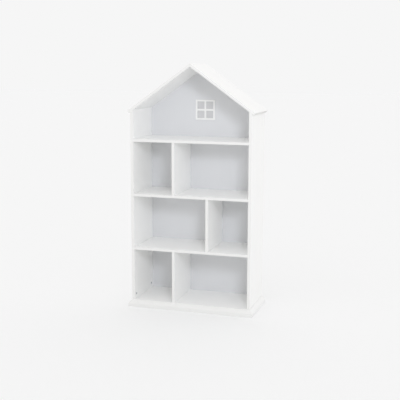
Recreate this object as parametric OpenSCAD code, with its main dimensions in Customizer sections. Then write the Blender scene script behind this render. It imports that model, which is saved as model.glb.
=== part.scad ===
// House shaped bookcase in painted board: three rows of bays under an open gabled attic.
// +Z is up, the back stands towards +Y, and the origin is the middle of the footprint on the floor.

/* [Body] */
// Width across the outer faces of the side panels
body_w = 760; // [640:1:900]
// Depth of the body, from its front edges to its rear edges
body_d = 328; // [270:1:400]
// Clear height of each of the three rows of bays
bay_h = 320; // [250:1:380]
// Height of a side panel's outer face above the attic shelf
attic_wall_h = 165; // [110:1:240]
// Distance of each divider's middle plane from the middle of the body
divider_offset = 107; // [60:1:200]

/* [Boards] */
// Thickness of the side panels
side_t = 18; // [16:0.5:25]
// Thickness of the shelves and dividers
shelf_t = 16; // [15:0.5:22]
// Thickness of the back panels
back_t = 4; // [3:0.5:6]
// Width of the rebate that the back panels lie in
rebate_w = 9; // [7:0.5:11]

/* [Roof] */
// Slope of the roof in degrees
roof_pitch = 35.5; // [28:0.5:42]
// Thickness of the roof panels
roof_t = 16; // [15:0.5:20]
// Length of roof past the side panel, measured along the slope
eave_overhang = 12; // [0:1:30]
// Thickness of the loose spline in the ridge
spline_t = 4; // [3:0.5:5]
// Depth that the spline reaches into each roof panel
spline_reach = 9; // [6:0.5:10]

/* [Base] */
// Height of the base board's top above the floor
base_h = 44; // [40:1:60]
// Thickness of the base board
base_board_t = 18; // [16:0.5:22]
// Thickness of the rails under the base board
rail_t = 18; // [16:0.5:25]
// Distance that the plinth stands out from the body
plinth_out = 20; // [18:1:30]
// Height of the plinth's upright face, below its bevel
plinth_face_h = 20; // [16:1:30]
// Width of the flat along the top of the plinth
plinth_lip = 1.5; // [1:0.5:4]

/* [Window] */
// Outer width and height of the window frame
window_size = 126; // [100:1:150]
// Width of the frame's bars
window_bar = 11; // [9:0.5:14]
// Thickness of the window frame
window_t = 5; // [4:0.5:7]
// Height of the window's middle above the attic shelf
window_rise = 168; // [140:1:180]
// Thickness of the grey card behind the panes
card_t = 1; // [0.5:0.1:1.5]

/* [Fittings] */
// Diameter of a cam lock's bore
cam_bore_d = 15; // [14:0.5:16]
// Depth of a cam lock's bore
cam_bore_depth = 12.5; // [12:0.1:13]
// Distance from a board's end to the middle of its cam locks
cam_inset = 30; // [24:1:34]
// Distance from the board's face to the axis of the cam bolt
cam_axis = 8; // [7.5:0.1:8.5]
// Distance from the front and rear edges to the cam locks
cam_edge = 32; // [25:1:37]
// Distance from a cam lock to the dowel beside it
dowel_step = 32; // [20:1:40]
// Diameter of a dowel's bore
dowel_bore_d = 8; // [6:0.5:8]
// Length of a dowel
dowel_len = 30; // [25:1:35]
// Thickness of the steel wall brackets
bracket_t = 2; // [1.5:0.1:3]
// Length of each leg of a wall bracket
bracket_leg = 25; // [22:1:32]
// Width of a wall bracket
bracket_w = 20; // [16:1:30]
// Distance between the two wall screw holes
wall_hole_gap = 600; // [400:1:600]
// Diameter of the wall screw holes
wall_hole_d = 5.5; // [4:0.1:6]

/* [Hidden] */
$fn = 48;

// Clearances
fit_gap = 0.1;      // all round a fitting in its bore
panel_gap = 0.5;    // between a back panel's edge and its rebate
cut = 1;            // how far a cutting body runs past a face

// Levels and planes
front_y = plinth_out - (body_d + plinth_out) / 2;
rear_y = front_y + body_d;
back_face_y = rear_y - back_t;
outer_x = body_w / 2;
inner_x = outer_x - side_t;
side_mid_x = outer_x - side_t / 2;
rail_h = base_h - base_board_t;
lower_shelf_z = base_h + bay_h;
upper_shelf_z = lower_shelf_z + shelf_t + bay_h;
attic_shelf_z = upper_shelf_z + shelf_t + bay_h;
attic_floor_z = attic_shelf_z + shelf_t;
eave_z = attic_floor_z + attic_wall_h;
shelf_levels = [lower_shelf_z, upper_shelf_z, attic_shelf_z];
lower_divider_x = -divider_offset;
middle_divider_x = divider_offset;
upper_divider_x = -divider_offset;
split_z = attic_shelf_z + shelf_t / 2;

// Roof, where a height is measured plumb
function under_z(x) = eave_z + (outer_x - abs(x)) * tan(roof_pitch);
roof_plumb_t = roof_t / cos(roof_pitch);
spline_drop = 3;
spline_z = under_z(0) + roof_plumb_t / 2 - spline_drop;
spline_stop = 25;

// Cam locks, cam bolts and dowels
cam_h = cam_bore_depth - 0.5;
cam_slot = 4.4;
cam_pocket_r = 3.2;
bolt_head_r = 2.8;
bolt_head_half = 1.5;
bolt_neck_r = 1.8;
bolt_neck_end = 8;
bolt_hole_d = 7;
bolt_thread_d = 5;
bolt_thread_len = 11;
dowel_reach = 11;
dowel_chamfer = 1;
bore_spare = 0.5;   // depth that a bore runs past its fitting
cam_rows = [front_y + cam_edge, rear_y - cam_edge];
dowel_rows = [front_y + cam_edge + dowel_step, rear_y - cam_edge - dowel_step];

// Screws: [length, shank diameter, head diameter, head height]
base_counterbore = 5;
base_counterbore_d = 9;
rail_screw = [rail_h - base_counterbore + base_board_t - 4, 4, 8, 2.6];
plinth_screw = [rail_t + plinth_out - 3, 4, 8, 2.6];
roof_screw = [45, 4.5, 8.6, 3];
back_screw = [back_t + 11, 3, 6, 1.8];
window_screw = [back_t + window_t - 1, 3, 6, 1.8];
bracket_screw = [bracket_t + shelf_t - 5, 3.5, 6.8, 2];
screw_point = 3;
recess_w = 1;
roof_counterbore_d = 10;
roof_seat = 6;      // plumb height of a roof screw's seat above the roof's underside
roof_screw_edge = 105;
plinth_screw_z = 12;
rail_screw_edge = 90;
plinth_screw_edge = 60;

// Window and wall fixing
window_z = attic_floor_z + window_rise;
window_pane = (window_size - 3 * window_bar) / 2;
card_lip = 7;
window_screw_at = window_size / 2 - card_lip / 2;
bracket_hole_at = 15;
bracket_screw_at = 14;

// Places of the fittings. In each one the joint is the plane x = 0: the board that holds the cam lock
// is at -x, the board that takes the cam bolt's thread is at +x, and the cam lock's face points to -z.

module at_shelf_ends(levels, rows) {
  for (level = levels, side = [-1, 1], y = rows)
    translate([side * inner_x, y, level + cam_axis])
      rotate([0, 0, side > 0 ? 0 : 180]) children();
}

module at_divider_foot(x, level, rows) {
  for (y = rows)
    translate([x - shelf_t / 2 + cam_axis, y, level]) rotate([0, 90, 0]) children();
}

module at_divider_head(x, level, rows) {
  for (y = rows)
    translate([x - shelf_t / 2 + cam_axis, y, level + bay_h])
      rotate([0, -90, 0]) rotate([180, 0, 0]) children();
}

module at_side_feet(rows) {
  for (side = [-1, 1], y = rows)
    translate([side * (inner_x + cam_axis), y, base_h])
      rotate([0, 90, 0]) rotate([side > 0 ? 0 : 180, 0, 0]) children();
}

module at_side_heads(rows) {
  for (side = [-1, 1], y = rows)
    translate([side * side_mid_x, y, under_z(side_mid_x)]) rotate([0, -90, 0]) children();
}

module at_dividers(rows) {
  at_divider_foot(lower_divider_x, base_h, rows) children();
  at_divider_head(lower_divider_x, base_h, rows) children();
  at_divider_foot(middle_divider_x, lower_shelf_z + shelf_t, rows) children();
  at_divider_head(middle_divider_x, lower_shelf_z + shelf_t, rows) children();
  at_divider_foot(upper_divider_x, upper_shelf_z + shelf_t, rows) children();
  at_divider_head(upper_divider_x, upper_shelf_z + shelf_t, rows) children();
}

// Bores that the boards are drilled with

module along_x(from, to, d) {
  translate([from, 0, 0]) rotate([0, 90, 0]) cylinder(d = d, h = to - from);
}

module cam_bore() {
  translate([-cam_inset, 0, -cam_axis - cut]) cylinder(d = cam_bore_d, h = cam_bore_depth + cut);
  along_x(-cam_inset, cut, bolt_hole_d);
}

module thread_bore() {
  along_x(-cut, bolt_thread_len + bore_spare, bolt_thread_d);
}

module dowel_end_bore() {
  along_x(dowel_reach - dowel_len - bore_spare, cut, dowel_bore_d);
}

module dowel_face_bore() {
  along_x(-cut, dowel_reach + bore_spare, dowel_bore_d);
}

// The cut end of a side panel slopes, so a bore there runs further past it
module dowel_slope_bore() {
  along_x(dowel_reach - dowel_len - bore_spare, dowel_reach + bore_spare, dowel_bore_d);
}

module sunk_bore(size) {
  r = size[1] / 2 + fit_gap;
  head_r = size[2] / 2 + fit_gap;
  rotate_extrude()
    polygon([
      [0, cut], [head_r, cut], [head_r, 0], [r, -size[3]],
      [r, -size[0] - bore_spare], [0, -size[0] - bore_spare]
    ]);
}

module plain_bore(size) {
  translate([0, 0, -size[0] - bore_spare])
    cylinder(d = size[1] + 2 * fit_gap, h = size[0] + bore_spare);
}

// Fittings

module cam_lock() {
  translate([-cam_inset, 0, 0])
    difference() {
      translate([0, 0, -cam_axis]) cylinder(d = cam_bore_d - 2 * fit_gap, h = cam_h);
      along_x(-2.2, 2.2, 2 * cam_pocket_r);
      translate([0, -cam_slot / 2, -cam_slot / 2]) cube([cam_bore_d, cam_slot, cam_slot]);
      for (turn = [0, 90])
        rotate([0, 0, turn]) translate([-4, -0.7, -cam_axis - cut]) cube([8, 1.4, 2 + cut]);
    }
}

module cam_bolt() {
  r = bolt_thread_d / 2 - fit_gap;
  shaft_r = bolt_hole_d / 2 - 2 * fit_gap;
  rotate([0, 90, 0])
    rotate_extrude()
      polygon([
        [0, -cam_inset - bolt_head_half], [bolt_head_r, -cam_inset - bolt_head_half],
        [bolt_head_r, -cam_inset + bolt_head_half], [bolt_neck_r, -cam_inset + bolt_head_half],
        [bolt_neck_r, -cam_inset + bolt_neck_end], [shaft_r, -cam_inset + bolt_neck_end],
        [shaft_r, 0], [r, 0], [r, bolt_thread_len - 2], [0, bolt_thread_len]
      ]);
}

module dowel() {
  r = dowel_bore_d / 2 - fit_gap;
  tail = dowel_reach - dowel_len;
  rotate([0, 90, 0])
    rotate_extrude()
      polygon([
        [0, tail], [r - dowel_chamfer, tail], [r, tail + dowel_chamfer],
        [r, dowel_reach - dowel_chamfer], [r - dowel_chamfer, dowel_reach], [0, dowel_reach]
      ]);
}

// A screw hangs from the plane of its head, with its point towards -z. Its head is sunk or flat below.
module screw(size, sunk = true) {
  r = size[1] / 2;
  head_r = size[2] / 2;
  difference() {
    rotate_extrude()
      polygon([
        [0, 0], [head_r, 0], if (!sunk) [head_r, -size[3]], [r, -size[3]],
        [r, screw_point - size[0]], [0, -size[0]]
      ]);
    for (turn = [0, 90])
      rotate([0, 0, turn])
        translate([-size[2] / 4, -recess_w / 2, -size[3] / 2])
          cube([size[2] / 2, recess_w, size[3]]);
  }
}

// Places of the screws. Each screw's head is at the origin and its point is towards -z.

module at_rail_screws() {
  for (x = [-inner_x + 40, lower_divider_x, middle_divider_x, inner_x - 40])
    for (y = [front_y + rail_t / 2, rear_y - rail_t / 2])
      translate([x, y, base_counterbore]) rotate([180, 0, 0]) children();
  for (side = [-1, 1], y = [front_y + rail_screw_edge, rear_y - rail_screw_edge])
    translate([side * (outer_x - rail_t / 2), y, base_counterbore]) rotate([180, 0, 0]) children();
}

module at_plinth_screws() {
  for (x = [70 - inner_x, 0, inner_x - 70])
    translate([x, front_y + rail_t, plinth_screw_z]) rotate([-90, 0, 0]) children();
  for (side = [-1, 1], y = [front_y + plinth_screw_edge, rear_y - plinth_screw_edge])
    translate([side * (outer_x - rail_t), y, plinth_screw_z])
      rotate([0, -90 * side, 0]) children();
}

module at_roof_screws() {
  for (side = [-1, 1], y = [front_y + roof_screw_edge, rear_y - roof_screw_edge])
    translate([side * side_mid_x, y, under_z(side_mid_x) + roof_seat + roof_screw[3]]) children();
}

function gable_spots() = [
  for (side = [-1, 1], share = [0.12, 0.5, 0.88])
    let (x = side * share * inner_x) [x, under_z(x) + rebate_w / 2 / cos(roof_pitch)],
  for (side = [-1, 1]) [side * (inner_x + rebate_w / 2), attic_floor_z + attic_wall_h / 2],
  for (share = [-0.9, -0.3, 0.3, 0.9]) [share * inner_x, split_z + shelf_t / 4]
];

function lower_spots() = [
  for (side = [-1, 1], share = [0.05, 0.28, 0.5, 0.72, 0.95])
    [side * (inner_x + rebate_w / 2), base_h + share * (attic_shelf_z - base_h)],
  for (z = [base_h - rebate_w / 2, lower_shelf_z + shelf_t / 2, upper_shelf_z + shelf_t / 2])
    for (share = [-0.75, 0, 0.75]) [share * inner_x, z],
  for (share = [-0.75, 0, 0.75]) [share * inner_x, split_z - shelf_t / 4]
];

module at_back_spots(spots) {
  for (spot = spots)
    translate([spot[0], rear_y, spot[1]]) rotate([-90, 0, 0]) children();
}

module at_window_screws() {
  for (side = [-1, 1], rise = [-1, 1])
    translate([side * window_screw_at, rear_y, window_z + rise * window_screw_at])
      rotate([-90, 0, 0]) children();
}

module at_brackets() {
  for (side = [-1, 1])
    translate([side * wall_hole_gap / 2, back_face_y, attic_shelf_z]) children();
}

module at_bracket_screws() {
  at_brackets()
    translate([0, -bracket_screw_at, -bracket_t - bracket_screw[3]])
      rotate([180, 0, 0]) children();
}

// Extrudes an upright outline from one y to another
module upright(from, to) {
  translate([0, to, 0]) rotate([90, 0, 0]) linear_extrude(to - from) children();
}

// Base: four rails under one board, wrapped on three sides by a bevelled plinth

module base_bores() {
  at_rail_screws() {
    sunk_bore(rail_screw);
    cylinder(d = base_counterbore_d, h = base_counterbore + cut);
  }
  at_plinth_screws() sunk_bore(plinth_screw);
}

module base_board() {
  color("white")
    difference() {
      translate([-outer_x, front_y, rail_h]) cube([body_w, body_d, base_board_t]);
      rear_recess();
      at_rail_screws() sunk_bore(rail_screw);
      at_side_feet(cam_rows) thread_bore();
      at_side_feet(dowel_rows) dowel_face_bore();
      at_divider_foot(lower_divider_x, base_h, cam_rows) thread_bore();
      at_divider_foot(lower_divider_x, base_h, dowel_rows) dowel_face_bore();
      at_back_spots(lower_spots()) sunk_bore(back_screw);
    }
}

module long_rail(y) {
  difference() {
    translate([-outer_x, y, 0]) cube([body_w, rail_t, rail_h]);
    base_bores();
  }
}

module short_rail(x) {
  difference() {
    translate([x, front_y + rail_t, 0]) cube([rail_t, body_d - 2 * rail_t, rail_h]);
    base_bores();
  }
}

module base_rail_front() {
  color("burlywood") long_rail(front_y);
}

module base_rail_rear() {
  color("white") long_rail(rear_y - rail_t);
}

module base_rail_left() {
  color("burlywood") short_rail(-outer_x);
}

module base_rail_right() {
  color("burlywood") short_rail(outer_x - rail_t);
}

// The plinth's section, standing out along +x from the face that it is fixed to
module plinth_section() {
  polygon([
    [0, 0], [plinth_out, 0], [plinth_out, plinth_face_h], [plinth_lip, base_h], [0, base_h]
  ]);
}

module plinth_front() {
  long = body_w + 2 * plinth_out;
  color("white")
    difference() {
      intersection() {
        translate([-long / 2, front_y, 0])
          rotate([90, 0, 90]) linear_extrude(long) mirror([1, 0]) plinth_section();
        linear_extrude(base_h)
          polygon([
            [-outer_x, front_y], [outer_x, front_y],
            [long / 2, front_y - plinth_out], [-long / 2, front_y - plinth_out]
          ]);
      }
      at_plinth_screws() sunk_bore(plinth_screw);
    }
}

module plinth_right() {
  color("white")
    difference() {
      intersection() {
        upright(front_y - plinth_out, rear_y) translate([outer_x, 0]) plinth_section();
        linear_extrude(base_h)
          polygon([
            [outer_x, front_y], [outer_x + plinth_out, front_y - plinth_out],
            [outer_x + plinth_out, rear_y], [outer_x, rear_y]
          ]);
      }
      at_plinth_screws() sunk_bore(plinth_screw);
    }
}

module plinth_left() {
  mirror([1, 0, 0]) plinth_right();
}

// Body

module back_outline(gap) {
  edge = inner_x + rebate_w - gap;
  lift = (rebate_w - gap) / cos(roof_pitch);
  polygon([
    [-edge, base_h - rebate_w + gap], [edge, base_h - rebate_w + gap],
    [edge, under_z(edge) + lift], [0, under_z(0) + lift], [-edge, under_z(edge) + lift]
  ]);
}

module rear_recess() {
  upright(back_face_y, rear_y + cut) back_outline(0);
}

module side_panel(side) {
  color("white")
    difference() {
      upright(front_y, rear_y)
        polygon([
          [side * inner_x, base_h], [side * outer_x, base_h],
          [side * outer_x, eave_z], [side * inner_x, under_z(inner_x)]
        ]);
      rear_recess();
      at_side_feet(cam_rows) cam_bore();
      at_side_feet(dowel_rows) dowel_end_bore();
      at_shelf_ends(shelf_levels, cam_rows) thread_bore();
      at_shelf_ends(shelf_levels, dowel_rows) dowel_face_bore();
      at_side_heads(dowel_rows) dowel_slope_bore();
      at_roof_screws() plain_bore(roof_screw);
      at_back_spots(concat(gable_spots(), lower_spots())) sunk_bore(back_screw);
    }
}

module side_panel_left() {
  side_panel(-1);
}

module side_panel_right() {
  side_panel(1);
}

module shelf(level) {
  difference() {
    translate([-inner_x, front_y, level]) cube([2 * inner_x, body_d - back_t, shelf_t]);
    at_shelf_ends([level], cam_rows) cam_bore();
    at_shelf_ends([level], dowel_rows) dowel_end_bore();
    at_dividers(cam_rows) thread_bore();
    at_dividers(dowel_rows) dowel_face_bore();
    at_back_spots(concat(gable_spots(), lower_spots())) sunk_bore(back_screw);
    at_bracket_screws() plain_bore(bracket_screw);
  }
}

module lower_shelf() {
  color("white") shelf(lower_shelf_z);
}

module upper_shelf() {
  color("white") shelf(upper_shelf_z);
}

module attic_shelf() {
  color("white") shelf(attic_shelf_z);
}

module divider(x, level) {
  difference() {
    translate([x - shelf_t / 2, front_y, level]) cube([shelf_t, body_d - back_t, bay_h]);
    at_divider_foot(x, level, cam_rows) cam_bore();
    at_divider_head(x, level, cam_rows) cam_bore();
    at_divider_foot(x, level, dowel_rows) dowel_end_bore();
    at_divider_head(x, level, dowel_rows) dowel_end_bore();
  }
}

module lower_divider() {
  color("white") divider(lower_divider_x, base_h);
}

module middle_divider() {
  color("white") divider(middle_divider_x, lower_shelf_z + shelf_t);
}

module upper_divider() {
  color("white") divider(upper_divider_x, upper_shelf_z + shelf_t);
}

// Roof: two panels mitred at the ridge, square cut at the eaves

module roof_slab() {
  end_x = outer_x + eave_overhang * cos(roof_pitch);
  end_z = eave_z - eave_overhang * sin(roof_pitch);
  upright(front_y, rear_y)
    polygon([
      [0, under_z(0)], [end_x, end_z],
      [end_x + roof_t * sin(roof_pitch), end_z + roof_t * cos(roof_pitch)],
      [0, under_z(0) + roof_plumb_t]
    ]);
}

module spline_bar(gap) {
  reach = spline_reach + gap;
  translate([-reach, front_y + spline_stop - gap, spline_z - spline_t / 2 - gap])
    cube([2 * reach, body_d - 2 * spline_stop + 2 * gap, spline_t + 2 * gap]);
}

module roof_panel_right() {
  color("white")
    difference() {
      roof_slab();
      rear_recess();
      spline_bar(fit_gap);
      at_side_heads(dowel_rows) dowel_slope_bore();
      at_roof_screws() {
        plain_bore(roof_screw);
        translate([0, 0, -roof_screw[3]]) cylinder(d = roof_counterbore_d, h = roof_plumb_t);
      }
      at_back_spots(gable_spots()) sunk_bore(back_screw);
    }
}

module roof_panel_left() {
  mirror([1, 0, 0]) roof_panel_right();
}

module ridge_spline() {
  color("burlywood") spline_bar(0);
}

// Back and window

module back_panel_lower() {
  edge = inner_x + rebate_w - panel_gap;
  foot = base_h - rebate_w + panel_gap;
  color("whitesmoke")
    difference() {
      translate([-edge, back_face_y, foot]) cube([2 * edge, back_t, split_z - panel_gap / 2 - foot]);
      at_back_spots(lower_spots()) sunk_bore(back_screw);
      at_brackets() bracket_wall_hole();
    }
}

module back_panel_gable() {
  color("whitesmoke")
    difference() {
      upright(back_face_y, rear_y) back_outline(panel_gap);
      translate([-body_w, back_face_y - cut, 0])
        cube([2 * body_w, back_t + 2 * cut, split_z + panel_gap / 2]);
      at_back_spots(gable_spots()) sunk_bore(back_screw);
      at_window_screws() sunk_bore(window_screw);
    }
}

module window_frame() {
  step = (window_pane + window_bar) / 2;
  recess = window_size - 2 * card_lip;
  color("white")
    difference() {
      upright(back_face_y - window_t, back_face_y)
        translate([0, window_z])
          difference() {
            square(window_size, center = true);
            for (x = [-step, step], z = [-step, step])
              translate([x, z]) square(window_pane, center = true);
          }
      translate([-recess / 2, back_face_y - card_t, window_z - recess / 2])
        cube([recess, card_t + cut, recess]);
      at_window_screws() sunk_bore(window_screw);
    }
}

module window_card() {
  card = window_size - 2 * card_lip - 2 * panel_gap;
  color("lightgray")
    translate([-card / 2, back_face_y - card_t, window_z - card / 2]) cube([card, card_t, card]);
}

// Fittings, each kind in one node

module cam_locks() {
  color("silver") {
    at_side_feet(cam_rows) cam_lock();
    at_shelf_ends(shelf_levels, cam_rows) cam_lock();
    at_dividers(cam_rows) cam_lock();
  }
}

module cam_bolts() {
  color("silver") {
    at_side_feet(cam_rows) cam_bolt();
    at_shelf_ends(shelf_levels, cam_rows) cam_bolt();
    at_dividers(cam_rows) cam_bolt();
  }
}

module dowels() {
  color("burlywood") {
    at_side_feet(dowel_rows) dowel();
    at_shelf_ends(shelf_levels, dowel_rows) dowel();
    at_dividers(dowel_rows) dowel();
    at_side_heads(dowel_rows) dowel();
  }
}

module roof_screws() {
  color("silver") at_roof_screws() screw(roof_screw, sunk = false);
}

module roof_plugs() {
  color("white")
    for (side = [0, 1])
      mirror([side, 0, 0])
        intersection() {
          roof_slab();
          at_roof_screws() cylinder(d = roof_counterbore_d - 2 * fit_gap, h = roof_plumb_t);
        }
}

module base_screws() {
  color("silver") {
    at_rail_screws() screw(rail_screw);
    at_plinth_screws() screw(plinth_screw);
  }
}

module back_screws() {
  color("silver") at_back_spots(concat(gable_spots(), lower_spots())) screw(back_screw);
}

module window_screws() {
  color("silver") at_window_screws() screw(window_screw);
}

// Wall brackets, under the attic shelf against the back

module bracket_wall_hole() {
  translate([0, back_t + cut, -bracket_hole_at])
    rotate([90, 0, 0]) cylinder(d = wall_hole_d, h = back_t + bracket_t + 2 * cut);
}

module wall_brackets() {
  color("silver")
    difference() {
      at_brackets() {
        translate([-bracket_w / 2, -bracket_leg, -bracket_t]) cube([bracket_w, bracket_leg, bracket_t]);
        translate([-bracket_w / 2, -bracket_t, -bracket_leg]) cube([bracket_w, bracket_t, bracket_leg]);
      }
      at_brackets() bracket_wall_hole();
      at_bracket_screws() plain_bore(bracket_screw);
    }
}

module bracket_screws() {
  color("silver") at_bracket_screws() screw(bracket_screw, sunk = false);
}

base_board();
base_rail_front();
base_rail_rear();
base_rail_left();
base_rail_right();
plinth_front();
plinth_left();
plinth_right();
side_panel_left();
side_panel_right();
lower_shelf();
upper_shelf();
attic_shelf();
lower_divider();
middle_divider();
upper_divider();
roof_panel_left();
roof_panel_right();
ridge_spline();
back_panel_lower();
back_panel_gable();
window_frame();
window_card();
cam_locks();
cam_bolts();
dowels();
roof_screws();
roof_plugs();
base_screws();
back_screws();
window_screws();
wall_brackets();
bracket_screws();
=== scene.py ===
# House shaped bookcase in white lacquered board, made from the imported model's boards and fitting places.
import math

import bmesh
import bpy
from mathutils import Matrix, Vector


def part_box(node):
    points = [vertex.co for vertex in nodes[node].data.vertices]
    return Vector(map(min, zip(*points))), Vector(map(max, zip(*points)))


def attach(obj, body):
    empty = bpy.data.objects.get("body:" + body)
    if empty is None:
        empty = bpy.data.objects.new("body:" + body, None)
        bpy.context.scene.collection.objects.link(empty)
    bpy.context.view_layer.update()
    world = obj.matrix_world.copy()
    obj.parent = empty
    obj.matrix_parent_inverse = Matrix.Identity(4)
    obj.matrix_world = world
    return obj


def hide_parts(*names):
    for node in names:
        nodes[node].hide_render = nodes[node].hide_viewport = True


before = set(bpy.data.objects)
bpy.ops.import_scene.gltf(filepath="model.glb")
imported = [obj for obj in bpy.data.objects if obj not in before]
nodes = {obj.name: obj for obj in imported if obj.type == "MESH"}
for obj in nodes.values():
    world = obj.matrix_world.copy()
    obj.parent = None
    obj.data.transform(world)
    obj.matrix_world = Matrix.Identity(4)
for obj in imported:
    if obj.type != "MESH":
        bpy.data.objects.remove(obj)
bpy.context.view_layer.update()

scene = bpy.context.scene
mmPerMetre = 1000
print("frame loaded,", len(nodes), "nodes")


def linearColour(code):  # "#rrggbb" to the linear values that sockets take, by the sRGB rule
    shares = [int(code[i:i + 2], 16) / 255 for i in (1, 3, 5)]
    linear = [share / 12.92 if share <= 0.04045 else ((share + 0.055) / 1.055) ** 2.4 for share in shares]
    return linear + [1.0]


def fillInputs(tree, node, inputs):  # each input is another node's socket or a plain value
    for key, value in inputs.items():
        if isinstance(value, bpy.types.NodeSocket):
            tree.links.new(value, node.inputs[key])
        else:
            node.inputs[key].default_value = value


def addNode(tree, kind, inputs=None, **settings):
    node = tree.nodes.new(kind)
    for name, value in settings.items():
        setattr(node, name, value)
    fillInputs(tree, node, inputs or {})
    return node


def startMaterial(name, look):
    material = bpy.data.materials.new(name)
    material.use_nodes = True
    tree = material.node_tree
    shader = tree.nodes["Principled BSDF"]
    shader.inputs["Base Color"].default_value = linearColour(look["colour"])
    shader.inputs["Roughness"].default_value = look["roughness"]
    shader.inputs["Metallic"].default_value = look.get("metallic", 0.0)
    if "ior" in look:
        shader.inputs["IOR"].default_value = look["ior"]
    place = addNode(tree, "ShaderNodeTexCoord").outputs["Object"]
    return material, tree, shader, place


def toneAndRelief(tree, shader, look, blend, height):  # blend goes from colour to shade, height stands up
    tone = addNode(tree, "ShaderNodeMix", {
        "Factor": blend, "A": linearColour(look["colour"]), "B": linearColour(look["shade"]),
    }, data_type="RGBA")
    relief = addNode(tree, "ShaderNodeBump", {
        "Height": height, "Distance": look["depthMm"] / mmPerMetre,
        "Strength": look.get("reliefStrength", 1.0),
    })
    tree.links.new(tone.outputs["Result"], shader.inputs["Base Color"])
    tree.links.new(relief.outputs["Normal"], shader.inputs["Normal"])


# Satin acrylic lacquer sprayed on fibreboard: an even soft white with the faint ripple of a sprayed coat.
# The real ripple is 1 to 2 mm across. On broad faces it is drawn at 4 mm so that it shows in a close view.
satinLacquer = {
    "colour": "#f8f8f7", "shade": "#f5f5f4", "roughness": 0.38, "roughSpread": 0.05, "ior": 1.49,
    "cloudMm": 140, "rippleMm": 4.0, "depthMm": 0.02,
}

# The same lacquer on sawn edges and the plinth's front, where the open fibres drink the coat.
# It is duller there, with a finer tooth. Its darker tone is painted shade, for the weaker light on front
# faces.
shadedEdgeLacquer = dict(
    satinLacquer, colour="#e6e6e4", shade="#e2e2e0", roughness=0.47, rippleMm=2.0, depthMm=0.035,
)

# The same lacquer on the window and the plinth's side lengths: between the two in tone and tooth.
# Its slightly darker tone is painted shade, for the weaker light on these faces.
shadedMouldedLacquer = dict(satinLacquer, colour="#f2f2f1", shade="#eeeeed", roughness=0.42, rippleMm=3.0)


def lacqueredBoard(name, look):
    material, tree, shader, place = startMaterial(name, look)
    cloud = addNode(tree, "ShaderNodeTexNoise", {
        "Vector": place, "Scale": mmPerMetre / look["cloudMm"], "Detail": 2.0,
    })
    ripple = addNode(tree, "ShaderNodeTexNoise", {
        "Vector": place, "Scale": mmPerMetre / look["rippleMm"], "Detail": 1.0,
    })
    rough = addNode(tree, "ShaderNodeMapRange", {
        "Value": ripple.outputs["Fac"],
        "To Min": look["roughness"] - look["roughSpread"], "To Max": look["roughness"] + look["roughSpread"],
    })
    tree.links.new(rough.outputs["Result"], shader.inputs["Roughness"])
    toneAndRelief(tree, shader, look, cloud.outputs["Fac"], ripple.outputs["Fac"])
    return material


# Hardboard with a roller-coated white face: cooler and flatter than the lacquer, with faint upright lines.
# The real lines are under 1 mm apart. They are drawn 3 mm apart so that they show.
coatedHardboard = {
    "colour": "#dbdcde", "shade": "#d8d9db", "roughness": 0.5, "ior": 1.47,
    "lineMm": 3.0, "lineLengthMm": 160, "depthMm": 0.01,
}


def rollerCoat(name, look):
    material, tree, shader, place = startMaterial(name, look)
    across, along = mmPerMetre / look["lineMm"], mmPerMetre / look["lineLengthMm"]
    stretched = addNode(tree, "ShaderNodeMapping", {"Vector": place, "Scale": (across, across, along)})
    line = addNode(tree, "ShaderNodeTexNoise", {
        "Vector": stretched.outputs["Vector"], "Scale": 1.0, "Detail": 2.0,
    })
    toneAndRelief(tree, shader, look, line.outputs["Fac"], line.outputs["Fac"])
    return material


# The same board's rear, primed white over the print of the press's wire screen.
# The real wires are 1.3 mm apart. They are drawn 4 mm apart so that the cloth-like print shows.
# The tone darkens in the print's valleys: that darkening is painted shade for the screen's relief.
screenedHardboard = {
    "colour": "#e4e4e2", "shade": "#d6d5d2", "roughness": 0.62, "ior": 1.47,
    "wireMm": 4.0, "wireShade": 0.12, "depthMm": 0.12, "reliefStrength": 0.5,
    "cloudMm": 60, "cloudShade": 0.5,
}


def screenPrint(name, look):
    material, tree, shader, place = startMaterial(name, look)
    axes = addNode(tree, "ShaderNodeSeparateXYZ", {"Vector": place})
    radiansPerMetre = 2 * math.pi * mmPerMetre / look["wireMm"]
    waves = []
    for axis in ("X", "Z"):
        angle = addNode(tree, "ShaderNodeMath", {
            0: axes.outputs[axis], 1: radiansPerMetre,
        }, operation="MULTIPLY")
        waves.append(addNode(tree, "ShaderNodeMath", {0: angle.outputs[0]}, operation="SINE").outputs[0])
    wires = addNode(tree, "ShaderNodeMath", {0: waves[0], 1: waves[1]}, operation="ADD").outputs[0]
    cloud = addNode(tree, "ShaderNodeTexNoise", {
        "Vector": place, "Scale": mmPerMetre / look["cloudMm"], "Detail": 4.0,
    })
    haze = addNode(tree, "ShaderNodeMath", {
        0: cloud.outputs["Fac"], 1: look["cloudShade"],
    }, operation="MULTIPLY")
    # a cloudy tone at random, plus painted shade in the screen's valleys
    cloudAndValleyShade = addNode(tree, "ShaderNodeMath", {
        0: wires, 1: -look["wireShade"], 2: haze.outputs[0],
    }, operation="MULTIPLY_ADD")
    toneAndRelief(tree, shader, look, cloudAndValleyShade.outputs[0], wires)
    return material


# Smooth grey pulpboard behind the window's panes: matt, with short paler and darker fibres.
pulpCard = {
    "colour": "#d2d2d3", "shade": "#c8c8c9", "roughness": 0.8, "ior": 1.45,
    "fibreMm": 1.6, "fibreBend": 1.5, "depthMm": 0.03,
}


def fibredCard(name, look):
    material, tree, shader, place = startMaterial(name, look)
    fibre = addNode(tree, "ShaderNodeTexNoise", {
        "Vector": place, "Scale": mmPerMetre / look["fibreMm"],
        "Detail": 3.0, "Distortion": look["fibreBend"],
    })
    toneAndRelief(tree, shader, look, fibre.outputs["Fac"], fibre.outputs["Fac"])
    return material


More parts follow.
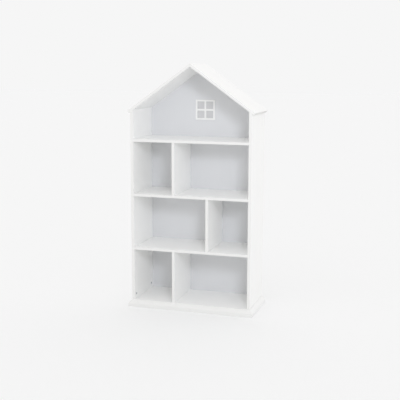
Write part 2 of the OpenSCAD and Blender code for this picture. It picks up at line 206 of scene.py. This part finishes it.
# Timber, planed or turned: growth rings cut along the grain, with pores drawn out along it.
# Spruce battens are pale yellow with wide rings. Beech is pinker, with tight ones.
# The real pores are under 0.1 mm wide. They are drawn at 0.5 and 0.8 mm so that they show.
spruce = {
    "colour": "#e2c89f", "shade": "#cba673", "roughness": 0.6, "ior": 1.5,
    "ringMm": 4.0, "ringBend": 3.0, "poreMm": 0.8, "poreStretch": 25, "depthMm": 0.05,
}
beech = dict(spruce, colour="#d6b48a", shade="#c39b70", roughness=0.55, ringMm=1.8, poreMm=0.5)


def timber(name, look, grain):  # grain is the axis along which the fibres run, 0, 1 or 2
    material, tree, shader, place = startMaterial(name, look)
    squeeze = [1.0, 1.0, 1.0]
    squeeze[grain] = 1 / look["poreStretch"]
    along = addNode(tree, "ShaderNodeMapping", {"Vector": place, "Scale": squeeze})
    wavesPerMetre = mmPerMetre / look["ringMm"]
    ring = addNode(tree, "ShaderNodeTexWave", {
        "Vector": along.outputs["Vector"],
        "Scale": wavesPerMetre * math.pi / 10,  # the node's own wave is pi/10 long
        "Distortion": look["ringBend"], "Detail": 2.0, "Detail Scale": 0.5,
    }, wave_type="RINGS", rings_direction="XYZ"[grain], wave_profile="SAW")
    pore = addNode(tree, "ShaderNodeTexNoise", {
        "Vector": along.outputs["Vector"], "Scale": mmPerMetre / look["poreMm"], "Detail": 2.0,
    })
    toneAndRelief(tree, shader, look, ring.outputs["Fac"], pore.outputs["Fac"])
    return material


# Cast zinc alloy on the cam locks: dull grey with the mould's fine grain.
# The real grain is about 0.2 mm wide. It is drawn at 0.9 mm so that it shows.
castZinc = {
    "colour": "#b4b7bb", "metallic": 1.0, "roughness": 0.46, "roughSpread": 0.12,
    "grainMm": 0.9, "depthMm": 0.02,
}

# Zinc-plated steel on the screws, bolts and brackets: bright and a little blue, with a soft drawn sheen.
platedSteel = {
    "colour": "#c6c9cd", "metallic": 1.0, "roughness": 0.3, "roughSpread": 0.08,
    "grainMm": 2.5, "depthMm": 0.006,
}


def greyMetal(name, look):
    material, tree, shader, place = startMaterial(name, look)
    grain = addNode(tree, "ShaderNodeTexNoise", {
        "Vector": place, "Scale": mmPerMetre / look["grainMm"], "Detail": 3.0,
    })
    rough = addNode(tree, "ShaderNodeMapRange", {
        "Value": grain.outputs["Fac"],
        "To Min": look["roughness"] - look["roughSpread"], "To Max": look["roughness"] + look["roughSpread"],
    })
    relief = addNode(tree, "ShaderNodeBump", {
        "Height": grain.outputs["Fac"], "Distance": look["depthMm"] / mmPerMetre, "Strength": 1.0,
    })
    tree.links.new(rough.outputs["Result"], shader.inputs["Roughness"])
    tree.links.new(relief.outputs["Normal"], shader.inputs["Normal"])
    return material


finishes = {
    "broadFace": lacqueredBoard("satin lacquer on fibreboard", satinLacquer),
    "cutEdgeShaded": lacqueredBoard("satin lacquer on sawn edges, painted shade", shadedEdgeLacquer),
    "mouldedFaceShaded": lacqueredBoard("satin lacquer on routed board, painted shade", shadedMouldedLacquer),
    "coatedFace": rollerCoat("roller coated hardboard", coatedHardboard),
    "screenedRear": screenPrint("screen backed hardboard", screenedHardboard),
    "card": fibredCard("grey pulpboard", pulpCard),
    "battenAcross": timber("planed spruce, grain across", spruce, 0),
    "battenDeep": timber("planed spruce, grain front to back", spruce, 1),
    "dowelWood": timber("turned beech", beech, 0),
    "splineWood": timber("sawn beech", beech, 1),
    "castZinc": greyMetal("cast zinc", castZinc),
    "platedSteel": greyMetal("zinc plated steel", platedSteel),
}
print("finishes made:", len(finishes))

# Mesh work: points this near are one, faces this flat to each other are one, and outer edges this sharp
# get a round of this many facets. Lengths are in metres from here on.
meshWork = {"mergeWithin": 0.000002, "flatDegrees": 0.5, "sharpDegrees": 20, "easeSegments": 3}


def mergedCopy(node):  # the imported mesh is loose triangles; its copy shares their points
    mesh = bmesh.new()
    mesh.from_mesh(nodes[node].data)
    bmesh.ops.remove_doubles(mesh, verts=mesh.verts, dist=meshWork["mergeWithin"])
    return mesh


def flatCopy(node):  # the copy's triangles become whole flat faces
    mesh = mergedCopy(node)
    flat = math.radians(meshWork["flatDegrees"])
    bmesh.ops.dissolve_limit(mesh, angle_limit=flat, verts=mesh.verts, edges=mesh.edges)
    return mesh


def roundEdges(mesh, edges, offset, segments):
    bmesh.ops.bevel(
        mesh, geom=edges, offset=offset, offset_type="OFFSET", segments=segments, profile=0.5,
        affect="EDGES", clamp_overlap=True, material=-1,
    )


def easedCopy(node, sizes):  # a copy in which every long sharp outer edge has a small round
    mesh = flatCopy(node)
    sharp = math.radians(meshWork["sharpDegrees"])
    arrises = [
        edge for edge in mesh.edges
        if len(edge.link_faces) == 2 and edge.calc_length() > sizes["shortest"]
        and edge.calc_face_angle_signed(0.0) > sharp
    ]
    roundEdges(mesh, arrises, sizes["ease"], meshWork["easeSegments"])
    mesh.normal_update()
    return mesh


def pieceName(node):  # base_board gives BaseBoard
    return node.title().replace("_", "")


def standFor(piece, node):  # the piece takes its node's place on the one body
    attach(piece, "root")
    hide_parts(node)


def finishPiece(name, mesh, coats, node):  # a bmesh becomes a flat shaded piece
    for face in mesh.faces:
        face.smooth = False
    data = bpy.data.meshes.new(name)
    mesh.to_mesh(data)
    mesh.free()
    if "custom_normal" in data.attributes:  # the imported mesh's shading doesn't suit the rounds
        data.attributes.remove(data.attributes["custom_normal"])
    for coat in coats:
        data.materials.append(finishes[coat])
    piece = bpy.data.objects.new(name, data)
    scene.collection.objects.link(piece)
    standFor(piece, node)


# Boards: sanded arrises, and the duller lacquer wherever the board was sawn, its darker tone painted shade.
# A face is broad where the cosine between its normal and the board's broad way is above the limit.
roofPitch = math.radians(35.5)
boards = {
    "ease": 0.0009, "shortest": 0.012, "broadCosine": 0.95,
    "broadWay": {
        "base_board": (0, 0, 1), "base_rail_rear": (0, 1, 0),
        "side_panel_left": (1, 0, 0), "side_panel_right": (1, 0, 0),
        "lower_shelf": (0, 0, 1), "upper_shelf": (0, 0, 1), "attic_shelf": (0, 0, 1),
        "lower_divider": (1, 0, 0), "middle_divider": (1, 0, 0), "upper_divider": (1, 0, 0),
        "roof_panel_left": (-math.sin(roofPitch), 0, math.cos(roofPitch)),
        "roof_panel_right": (math.sin(roofPitch), 0, math.cos(roofPitch)),
    },
}
for node, way in boards["broadWay"].items():
    mesh = easedCopy(node, boards)
    for face in mesh.faces:
        # sawn faces take the duller lacquer, whose darker tone is painted shade
        face.material_index = 0 if abs(face.normal.dot(Vector(way))) > boards["broadCosine"] else 1
    finishPiece(pieceName(node), mesh, ["broadFace", "cutEdgeShaded"], node)
print("boards eased:", len(boards["broadWay"]))

# Plinth: routed lengths, mitred at the front corners. The front length is duller than the side lengths.
# The front's darker tone and the side lengths' slightly darker one are painted shade.
plinth = {
    "ease": 0.0012, "shortest": 0.012,
    "coat": {"plinth_front": "cutEdgeShaded", "plinth_left": "mouldedFaceShaded", "plinth_right": "mouldedFaceShaded"},
}
for node, coat in plinth["coat"].items():
    finishPiece(pieceName(node), easedCopy(node, plinth), [coat], node)
print("plinth made")

# Battens under the base board, planed on all sides.
battens = {
    "ease": 0.001, "shortest": 0.02,
    "coat": {
        "base_rail_front": "battenAcross", "base_rail_left": "battenDeep", "base_rail_right": "battenDeep",
    },
}
for node, coat in battens["coat"].items():
    finishPiece(pieceName(node), easedCopy(node, battens), [coat], node)
print("battens made")

# Back: two sheets with the coated face forwards and the screen's print behind.
backSheets = {
    "ease": 0.0003, "shortest": 0.02, "rearCosine": 0.9,
    "sheets": ("back_panel_lower", "back_panel_gable"),
}
for node in backSheets["sheets"]:
    mesh = easedCopy(node, backSheets)
    for face in mesh.faces:
        face.material_index = 1 if face.normal.y > backSheets["rearCosine"] else 0
    finishPiece(pieceName(node), mesh, ["coatedFace", "screenedRear"], node)
print("back sheets made")

# Window: one routed grille with softened bars, in the lacquer whose slightly darker tone is painted shade.
window = {"ease": 0.0008, "shortest": 0.01}
finishPiece("WindowGrille", easedCopy("window_frame", window), ["mouldedFaceShaded"], "window_frame")
print("window made")

# Brackets: folded strip, so the fold is round inside and out. An edge this near to the fold is part of it.
brackets = {
    "thickness": 0.002, "outerBend": 0.0024, "innerBend": 0.0012, "bendSegments": 6, "near": 0.0001,
}
mesh = flatCopy("wall_brackets")
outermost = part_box("wall_brackets")[1]
for bend, depth in (("outerBend", 0.0), ("innerBend", brackets["thickness"])):
    y, z = outermost.y - depth, outermost.z - depth
    fold = [
        edge for edge in mesh.edges
        if all(max(abs(vert.co.y - y), abs(vert.co.z - z)) < brackets["near"] for vert in edge.verts)
    ]
    roundEdges(mesh, fold, brackets[bend], brackets["bendSegments"])
finishPiece("WallBrackets", mesh, ["platedSteel"], "wall_brackets")
print("brackets made")

# What all fittings share: the facets of a turned solid, the step under a screw's head, its blunt tip, and
# the angle past which an edge stays crisp. The seed is for the angles at which the slots come to rest.
fittingWork = {
    "seed": 7, "screwSides": 24, "camSides": 40, "seatStep": 0.00002, "tipRadius": 0.0002,
    "crispDegrees": 30,
}


def solidBoxes(node):  # lowest and highest corner of each separate solid in a node
    mesh = mergedCopy(node)
    unseen = set(mesh.verts)
    boxes = []
    while unseen:
        waiting = [unseen.pop()]
        low, high = waiting[0].co.copy(), waiting[0].co.copy()
        while waiting:
            vert = waiting.pop()
            low = Vector(map(min, low, vert.co))
            high = Vector(map(max, high, vert.co))
            for link in vert.link_edges:
                other = link.other_vert(vert)
                if other in unseen:
                    unseen.remove(other)
                    waiting.append(other)
        boxes.append((low, high))
    mesh.free()
    return sorted(boxes, key=lambda box: tuple(round(measure, 4) for measure in box[0]))


def fittingPlaces(node, wayOf):  # the middle of each solid's outer face, and the way it is driven
    places = []
    for low, high in solidBoxes(node):
        centre, half = (low + high) / 2, (high - low) / 2
        way = wayOf(centre, half)
        inwards = Vector(share * length for share, length in zip(way, half))
        places.append((centre - inwards, way))
    return places


def fittingTree(name, sizes, shapeFitting):  # sets a fitting at each point, driven along +Z of its "turn"
    tree = bpy.data.node_groups.new(name, "GeometryNodeTree")
    tree.interface.new_socket("Places", in_out="INPUT", socket_type="NodeSocketGeometry")
    for size in sizes:
        tree.interface.new_socket(size, in_out="INPUT", socket_type="NodeSocketFloat")
    tree.interface.new_socket("Seed", in_out="INPUT", socket_type="NodeSocketInt")
    tree.interface.new_socket("Finish", in_out="INPUT", socket_type="NodeSocketMaterial")
    tree.interface.new_socket("Fittings", in_out="OUTPUT", socket_type="NodeSocketGeometry")
    given = addNode(tree, "NodeGroupInput").outputs
    fitting = shapeFitting(tree, given)
    turn = addNode(tree, "GeometryNodeInputNamedAttribute", {"Name": "turn"}, data_type="FLOAT_VECTOR")
    placed = addNode(tree, "GeometryNodeInstanceOnPoints", {
        "Points": given["Places"], "Instance": fitting, "Rotation": turn.outputs["Attribute"],
    })
    stop = addNode(tree, "FunctionNodeRandomValue", {
        "Max": given["Stop Angle"], "Seed": given["Seed"],
    }, data_type="FLOAT")
    stopTurn = addNode(tree, "ShaderNodeCombineXYZ", {"Z": stop.outputs["Value"]})
    turned = addNode(tree, "GeometryNodeRotateInstances", {
        "Instances": placed.outputs["Instances"], "Rotation": stopTurn.outputs["Vector"],
    })
    real = addNode(tree, "GeometryNodeRealizeInstances", {"Geometry": turned.outputs["Instances"]})
    coated = addNode(tree, "GeometryNodeSetMaterial", {
        "Geometry": real.outputs["Geometry"], "Material": given["Finish"],
    })
    addNode(tree, "NodeGroupOutput", {"Fittings": coated.outputs["Geometry"]})
    return tree


def turnedSolid(tree, sides, steps):  # steps are height and radius, from the outer face inwards
    spots = addNode(tree, "GeometryNodeMeshLine", {"Count": len(steps)})
    index = addNode(tree, "GeometryNodeInputIndex").outputs["Index"]
    picks = []
    for values in zip(*steps):
        pick = addNode(tree, "GeometryNodeIndexSwitch", {"Index": index}, data_type="FLOAT")
        while len(pick.index_switch_items) < len(values):
            pick.index_switch_items.new()
        fillInputs(tree, pick, {str(i): value for i, value in enumerate(values)})
        picks.append(pick.outputs["Output"])
    axis = addNode(tree, "GeometryNodeMeshToCurve", {"Mesh": spots.outputs["Mesh"]})
    height = addNode(tree, "ShaderNodeCombineXYZ", {"Z": picks[0]})
    raised = addNode(tree, "GeometryNodeSetPosition", {
        "Geometry": axis.outputs["Curve"], "Position": height.outputs["Vector"],
    })
    ring = addNode(tree, "GeometryNodeCurvePrimitiveCircle", {"Resolution": sides, "Radius": 1.0})
    solid = addNode(tree, "GeometryNodeCurveToMesh", {
        "Curve": raised.outputs["Geometry"], "Profile Curve": ring.outputs["Curve"],
        "Scale": picks[1], "Fill Caps": True,
    })
    return solid.outputs["Mesh"]


def crossSlotted(tree, given, solid, mark=None):  # cuts two crossed bars, half above the head, and a mark
    deep = addNode(tree, "ShaderNodeMath", {
        0: given["Recess Depth"], 1: 2.0,
    }, operation="MULTIPLY").outputs[0]
    bars = addNode(tree, "GeometryNodeJoinGeometry")
    for first, second in (("Recess Length", "Recess Width"), ("Recess Width", "Recess Length")):
        size = addNode(tree, "ShaderNodeCombineXYZ", {"X": given[first], "Y": given[second], "Z": deep})
        bar = addNode(tree, "GeometryNodeMeshCube", {"Size": size.outputs["Vector"]})
        tree.links.new(bar.outputs["Mesh"], bars.inputs["Geometry"])
    cut = addNode(tree, "GeometryNodeMeshBoolean", {
        "Mesh 1": solid, "Mesh 2": bars.outputs["Geometry"], "Self Intersection": True,
    }, operation="DIFFERENCE", solver="EXACT")
    if mark:
        tree.links.new(mark, cut.inputs["Mesh 2"])
    return cut.outputs["Mesh"]


def shapeScrew(tree, given):
    seat = addNode(tree, "ShaderNodeMath", {
        0: given["Head Height"], 1: fittingWork["seatStep"],
    }, operation="ADD").outputs[0]
    tip = addNode(tree, "ShaderNodeMath", {
        0: given["Shank Length"], 1: given["Point Length"],
    }, operation="ADD").outputs[0]
    screw = turnedSolid(tree, fittingWork["screwSides"], (
        (0.0, given["Head Radius"]), (given["Head Height"], given["Neck Radius"]),
        (seat, given["Shank Radius"]), (given["Shank Length"], given["Shank Radius"]),
        (tip, fittingWork["tipRadius"]),
    ))
    return crossSlotted(tree, given, screw)


def shapeCam(tree, given):
    back = addNode(tree, "ShaderNodeMath", {
        0: given["Rim Height"], 1: given["Body Height"],
    }, operation="ADD").outputs[0]
    cam = turnedSolid(tree, fittingWork["camSides"], (
        (0.0, given["Face Radius"]),
        (given["Rim Height"], given["Body Radius"]), (back, given["Body Radius"]),
    ))
    arrow = addNode(tree, "GeometryNodeMeshCylinder", {
        "Vertices": 3, "Radius": given["Arrow Radius"], "Depth": given["Recess Depth"],
    })
    aside = addNode(tree, "ShaderNodeCombineXYZ", {"X": given["Arrow Place"]})
    arrowPlaced = addNode(tree, "GeometryNodeTransform", {
        "Geometry": arrow.outputs["Mesh"], "Translation": aside.outputs["Vector"],
    })
    return crossSlotted(tree, given, cam, arrowPlaced.outputs["Geometry"])


def setOut(node, tree, sizes, wayOf, coat):  # runs the tree and keeps its result as a plain mesh
    name = pieceName(node)
    places = fittingPlaces(node, wayOf)
    points = bpy.data.meshes.new(name)
    points.from_pydata([spot for spot, way in places], [], [])
    turn = points.attributes.new("turn", "FLOAT_VECTOR", "POINT")
    for i, (spot, way) in enumerate(places):
        turn.data[i].vector = Vector(way).to_track_quat("Z", "Y").to_euler()
    piece = bpy.data.objects.new(name, points)
    scene.collection.objects.link(piece)
    modifier = piece.modifiers.new("fittings", "NODES")
    modifier.node_group = tree
    values = dict(sizes, Seed=fittingWork["seed"], Finish=finishes[coat])
    for item in tree.interface.items_tree:
        if item.in_out == "INPUT" and item.name in values:
            modifier[item.identifier] = values[item.name]
    depsgraph = bpy.context.evaluated_depsgraph_get()
    made = bpy.data.meshes.new_from_object(piece.evaluated_get(depsgraph), depsgraph=depsgraph)
    piece.modifiers.remove(modifier)
    piece.data = made
    made.materials.pop(index=0)  # the empty slot that the points brought
    made.attributes.remove(made.attributes["turn"])
    made.shade_smooth()
    made.set_sharp_from_angle(angle=math.radians(fittingWork["crispDegrees"]))
    standFor(piece, node)
    print(name, "set out at", len(places), "places")


# Cam locks: 15 mm, cross slotted, with a small arrow that points to the bolt.
camLocks = {
    "Face Radius": 0.0069, "Body Radius": 0.0074, "Rim Height": 0.0005, "Body Height": 0.0115,
    "Recess Length": 0.0078, "Recess Width": 0.0015, "Recess Depth": 0.0022,
    "Arrow Radius": 0.0013, "Arrow Place": 0.0054, "Stop Angle": 0.5,
}
dividerReach = 0.25  # every divider stands nearer to the middle than this


def camWay(centre, half):
    if half.z < half.x:
        return (0, 0, 1)  # under a shelf, driven upwards
    if abs(centre.x) > dividerReach:
        return (math.copysign(1, centre.x), 0, 0)  # inside a side panel's foot
    return (1, 0, 0)  # left face of a divider


setOut("cam_locks", fittingTree("cam lock", camLocks, shapeCam), camLocks, camWay, "castZinc")

# Screws, all cross slotted. A sunk head narrows to its shank and a pan head widens to its seat.
backScrews = {
    "Head Radius": 0.003, "Neck Radius": 0.0015, "Head Height": 0.0018, "Shank Radius": 0.0015,
    "Shank Length": 0.012, "Point Length": 0.003,
    "Recess Length": 0.0032, "Recess Width": 0.0008, "Recess Depth": 0.0012, "Stop Angle": 1.5,
}
windowScrews = dict(backScrews, **{"Shank Length": 0.0055, "Point Length": 0.0025})
baseScrews = {
    "Head Radius": 0.004, "Neck Radius": 0.002, "Head Height": 0.0026, "Shank Radius": 0.002,
    "Shank Length": 0.032, "Point Length": 0.003,
    "Recess Length": 0.0044, "Recess Width": 0.001, "Recess Depth": 0.0016, "Stop Angle": 1.5,
}
bracketScrews = {
    "Head Radius": 0.0028, "Neck Radius": 0.0034, "Head Height": 0.002, "Shank Radius": 0.00175,
    "Shank Length": 0.01, "Point Length": 0.003,
    "Recess Length": 0.0036, "Recess Width": 0.0009, "Recess Depth": 0.0014, "Stop Angle": 1.5,
}
screwSets = {
    "back_screws": backScrews, "window_screws": windowScrews,
    "base_screws": baseScrews, "bracket_screws": bracketScrews,
}


def screwWay(centre, half):
    if half.z > half.x and half.z > half.y:
        return (0, 0, 1)  # driven upwards
    if half.y > half.x:
        return (0, -1, 0)  # driven forwards
    return (math.copysign(1, centre.x), 0, 0)  # driven outwards into the plinth


screwTree = fittingTree("screw", backScrews, shapeScrew)
for node, sizes in screwSets.items():
    setOut(node, screwTree, sizes, screwWay, "platedSteel")

# Fittings that the boards hide, and the plugs and card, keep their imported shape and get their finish.
keptNodes = {
    "window_card": "card", "dowels": "dowelWood", "ridge_spline": "splineWood",
    "cam_bolts": "platedSteel", "roof_screws": "platedSteel", "roof_plugs": "broadFace",
}
for node, coat in keptNodes.items():
    for slot in nodes[node].material_slots:
        slot.material = finishes[coat]
print("kept nodes finished:", len(keptNodes))

# Studio: a pale floor that runs on into an even pale background.
studio = {
    "background": "#f6f6f6", "floor": "#f9fafb", "floorRoughness": 0.9, "floorIor": 1.3,
    "floorReach": 40.0, "floorEven": "#fdfdfd", "floorEvenness": 0.35,
    "skyStrength": 0.94, "skyColour": "#fffefd",
    "lampPlace": (1.9, -3.8, 2.4), "lampAim": (0, 0, 0.9), "lampSize": 0.85,
    "lampWatts": 51, "lampColour": "#f4f7ff",
    "diffuseBounces": 10,  # white bays pass light from board to board many times
}


def seenRay(tree):  # 1 for what the camera sees, straight or in a reflection, and 0 for light on its way
    ray = addNode(tree, "ShaderNodeLightPath").outputs
    sharp = addNode(tree, "ShaderNodeMath", {
        0: ray["Is Glossy Ray"], 1: ray["Is Transmission Ray"],
    }, operation="MAXIMUM")
    return addNode(tree, "ShaderNodeMath", {
        0: ray["Is Camera Ray"], 1: sharp.outputs[0],
    }, operation="MAXIMUM").outputs[0]


floorMesh = bpy.data.meshes.new("Floor")
reach = studio["floorReach"]
corners = [(-reach, -reach, 0), (reach, -reach, 0), (reach, reach, 0), (-reach, reach, 0)]
floorMesh.from_pydata(corners, [], [(0, 1, 2, 3)])
floor = bpy.data.objects.new("Floor", floorMesh)
scene.collection.objects.link(floor)
floorLook = {"colour": studio["floor"], "roughness": studio["floorRoughness"], "ior": studio["floorIor"]}
paper, tree, shader = startMaterial("matt studio paper", floorLook)[:3]
floorMesh.materials.append(paper)

# Part of what is seen of the floor is an even tone. It brings the floor to the background's tone and
# keeps the object's shadow light.
even = addNode(tree, "ShaderNodeEmission", {"Color": linearColour(studio["floorEven"]), "Strength": 1.0})
share = addNode(tree, "ShaderNodeMath", {
    0: seenRay(tree), 1: studio["floorEvenness"],
}, operation="MULTIPLY")
floorSeen = addNode(tree, "ShaderNodeMixShader", {
    0: share.outputs[0], 1: shader.outputs["BSDF"], 2: even.outputs["Emission"],
})
tree.links.new(floorSeen.outputs["Shader"], tree.nodes["Material Output"].inputs["Surface"])

world = bpy.data.worlds.new("even studio")
scene.world = world
world.use_nodes = True
tree = world.node_tree
skyLight = tree.nodes["Background"]
skyLight.inputs["Color"].default_value = linearColour(studio["skyColour"])
skyLight.inputs["Strength"].default_value = studio["skyStrength"]
seen = addNode(tree, "ShaderNodeBackground", {
    "Color": linearColour(studio["background"]), "Strength": 1.0,
})
sky = addNode(tree, "ShaderNodeMixShader", {
    0: seenRay(tree), 1: skyLight.outputs["Background"], 2: seen.outputs["Background"],
})
tree.links.new(sky.outputs["Shader"], tree.nodes["World Output"].inputs["Surface"])

# A soft lamp in front to the right, above the roof. It lights the object and leaves the floor even.
lamp = bpy.data.lights.new("soft lamp", "AREA")
lamp.shape = "DISK"
lamp.size = studio["lampSize"]
lamp.energy = studio["lampWatts"]
lamp.color = linearColour(studio["lampColour"])[:3]
holder = bpy.data.objects.new("soft lamp", lamp)
holder.location = studio["lampPlace"]
aim = Vector(studio["lampPlace"]) - Vector(studio["lampAim"])
holder.rotation_euler = aim.to_track_quat("Z", "Y").to_euler()
scene.collection.objects.link(holder)
unlit = bpy.data.collections.new("left out by the soft lamp")
unlit.objects.link(floor)
holder.light_linking.receiver_collection = unlit
for member in unlit.collection_objects:
    member.light_linking.link_state = "EXCLUDE"
scene.view_settings.view_transform = "Standard"
scene.cycles.diffuse_bounces = studio["diffuseBounces"]
print("studio lit")

# Camera: solved from the photograph's straight edges.
shot = {
    "place": (1.4896, -4.7513, 1.4951), "yaw": 17.234, "pitch": 9.403, "roll": -0.128,
    "lens": 73.09, "sensor": 36, "farClip": 200,
}
optics = bpy.data.cameras.new("camera")
optics.lens = shot["lens"]
optics.sensor_width = shot["sensor"]
optics.clip_end = shot["farClip"]
camera = bpy.data.objects.new("camera", optics)
camera.location = shot["place"]
camera.rotation_euler = [math.radians(angle) for angle in (90 - shot["pitch"], shot["roll"], shot["yaw"])]
scene.collection.objects.link(camera)
scene.camera = camera
print("camera placed")
